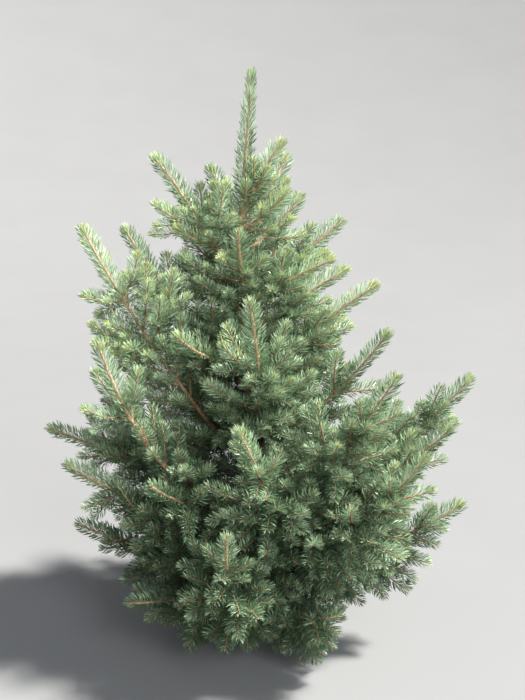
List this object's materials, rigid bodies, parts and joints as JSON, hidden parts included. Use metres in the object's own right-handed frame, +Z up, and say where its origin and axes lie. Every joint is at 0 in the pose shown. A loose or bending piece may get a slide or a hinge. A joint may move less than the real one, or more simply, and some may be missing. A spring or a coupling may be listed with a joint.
{
  "type": "blue spruce tree",
  "caption": "Young blue spruce tree with a straight leader, rising boughs and brush-like shoots of blue-green needles, rooted at a flat cut at ground level.",
  "frame": {"origin": "centre of the flat cut under the trunk, at ground level", "axes": "+Z up along the tree's height, +X to the right in the picture and +Y away from its viewer"},
  "size_m": [0.9256, 0.8225, 1.25],
  "materials": {
    "trunk_bark": "rough grey-brown bark",
    "bough_bark": "orange-brown young bark",
    "foliage_upper": "waxy blue-green needles, paler at the tips",
    "foliage_lower": "waxy blue-green needles, darker in the shade"
  },
  "bodies": {
    "root": {"bough_foot_front": "bough_bark", "bough_foot_left": "bough_bark", "bough_foot_right": "bough_bark", "bough_front_right": "bough_bark", "bough_long_left": "bough_bark", "bough_low_front": "bough_bark", "bough_low_front_right": "bough_bark", "bough_low_left": "bough_bark", "bough_low_right": "bough_bark", "bough_mid_left": "bough_bark", "bough_wide_left": "bough_bark", "bough_wide_right": "bough_bark", "foliage_foot_back": "foliage_lower", "foliage_foot_back_left": "foliage_lower", "foliage_foot_front": "foliage_lower", "foliage_foot_front_left": "foliage_lower", "foliage_foot_front_right": "foliage_lower", "foliage_foot_left": "foliage_lower", "foliage_foot_right": "foliage_lower", "foliage_foot_side_left": "foliage_lower", "foliage_foot_side_right": "foliage_lower", "foliage_front_right": "foliage_lower", "foliage_high_back": "foliage_upper", "foliage_high_back_left": "foliage_upper", "foliage_high_front": "foliage_upper", "foliage_high_left": "foliage_upper", "foliage_high_right": "foliage_upper", "foliage_high_side_right": "foliage_upper", "foliage_long_left": "foliage_lower", "foliage_low_back": "foliage_lower", "foliage_low_back_left": "foliage_lower", "foliage_low_back_right": "foliage_lower", "foliage_low_front": "foliage_lower", "foliage_low_front_left": "foliage_lower", "foliage_low_front_right": "foliage_lower", "foliage_low_left": "foliage_lower", "foliage_low_outer_right": "foliage_lower", "foliage_low_right": "foliage_lower", "foliage_low_side_left": "foliage_lower", "foliage_mid_back": "foliage_upper", "foliage_mid_back_left": "foliage_upper", "foliage_mid_back_right": "foliage_upper", "foliage_mid_front": "foliage_upper", "foliage_mid_front_left": "foliage_upper", "foliage_mid_left": "foliage_upper", "foliage_mid_right": "foliage_upper", "foliage_top_back": "foliage_upper", "foliage_top_front": "foliage_upper", "foliage_top_left": "foliage_upper", "foliage_top_right": "foliage_upper", "foliage_upper_back": "foliage_upper", "foliage_upper_front": "foliage_upper", "foliage_upper_left": "foliage_upper", "foliage_upper_right": "foliage_upper", "foliage_wide_back": "foliage_lower", "foliage_wide_back_right": "foliage_lower", "foliage_wide_left": "foliage_lower", "foliage_wide_right": "foliage_lower", "leader_foliage": "foliage_upper", "trunk": "trunk_bark"}
  },
  "joints": []
}
